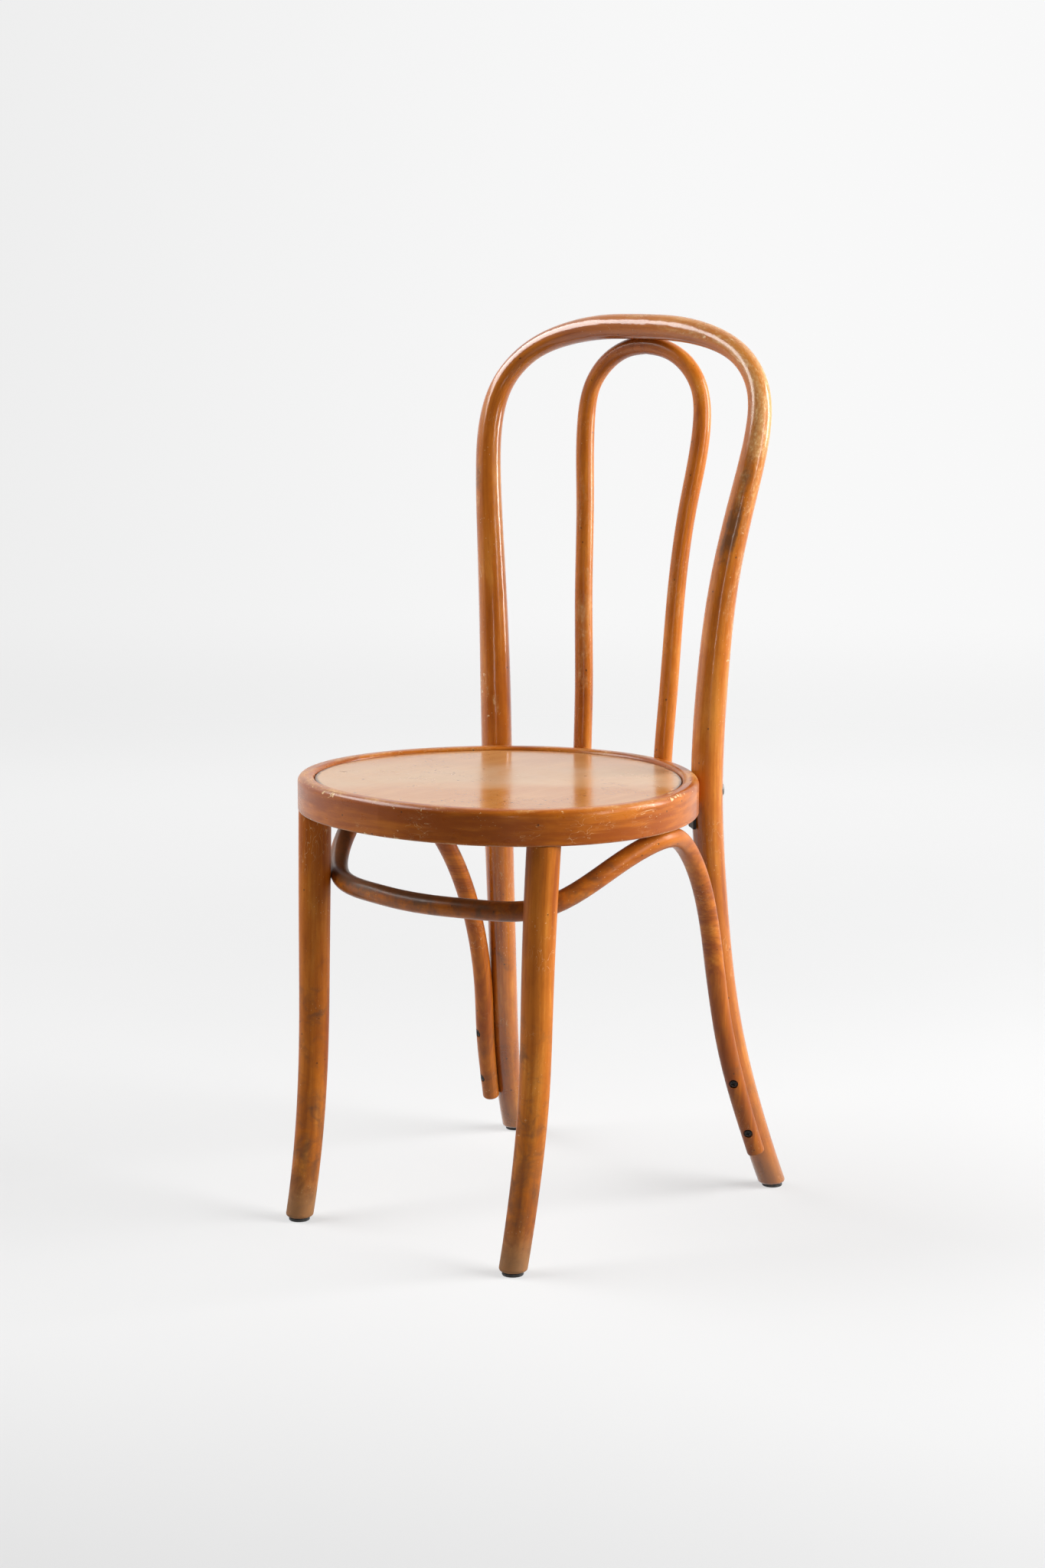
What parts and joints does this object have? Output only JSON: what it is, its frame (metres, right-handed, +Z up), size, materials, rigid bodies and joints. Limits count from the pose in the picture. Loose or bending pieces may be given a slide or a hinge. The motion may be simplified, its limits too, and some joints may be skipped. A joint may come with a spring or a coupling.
{
  "type": "bentwood chair",
  "caption": "Bentwood bistro side chair with a looped hoop back, smaller inner hoop, round seat set in a bent ring, curved legs and one bent leg brace.",
  "frame": {"origin": "On the floor under the middle of the chair's bounding box.", "axes": "+Z up, the sitter faces -Y, +X to the sitter's left."},
  "size_m": [0.4166, 0.4566, 0.9237],
  "materials": {
    "hoop_beech": "honey-stained beech under worn satin varnish",
    "ring_beech": "honey-stained beech, glossy varnish chipped along the rim",
    "panel_ply": "stained veneer under glossy varnish with fine scratches",
    "leg_beech": "honey-stained beech, satin varnish, scuffed near the floor",
    "brace_beech": "honey-stained beech, satin varnish",
    "bracket_steel": "dark painted steel",
    "glide_black": "black moulded plastic, scuffed underneath",
    "screw_steel": "dulled dark steel",
    "bolt_steel": "dull zinc-plated steel"
  },
  "bodies": {
    "root": {"back_hoop": "hoop_beech", "inner_hoop": "hoop_beech", "seat_ring": "ring_beech", "seat_panel": "panel_ply", "front_leg_left": "leg_beech", "front_leg_right": "leg_beech", "leg_brace": "brace_beech", "corner_bracket_left": "bracket_steel", "corner_bracket_right": "bracket_steel", "glide_front_left": "glide_black", "glide_front_right": "glide_black", "glide_rear_left": "glide_black", "glide_rear_right": "glide_black", "glide_nails": "screw_steel", "brace_end_screws": "screw_steel", "brace_leg_screws": "screw_steel", "brace_top_screws": "screw_steel", "crown_screws": "screw_steel", "inner_hoop_screws": "screw_steel", "rear_leg_bolts": "bolt_steel", "bolt_washers": "bolt_steel", "bolt_nuts": "bolt_steel", "bracket_screws": "screw_steel"}
  },
  "joints": []
}
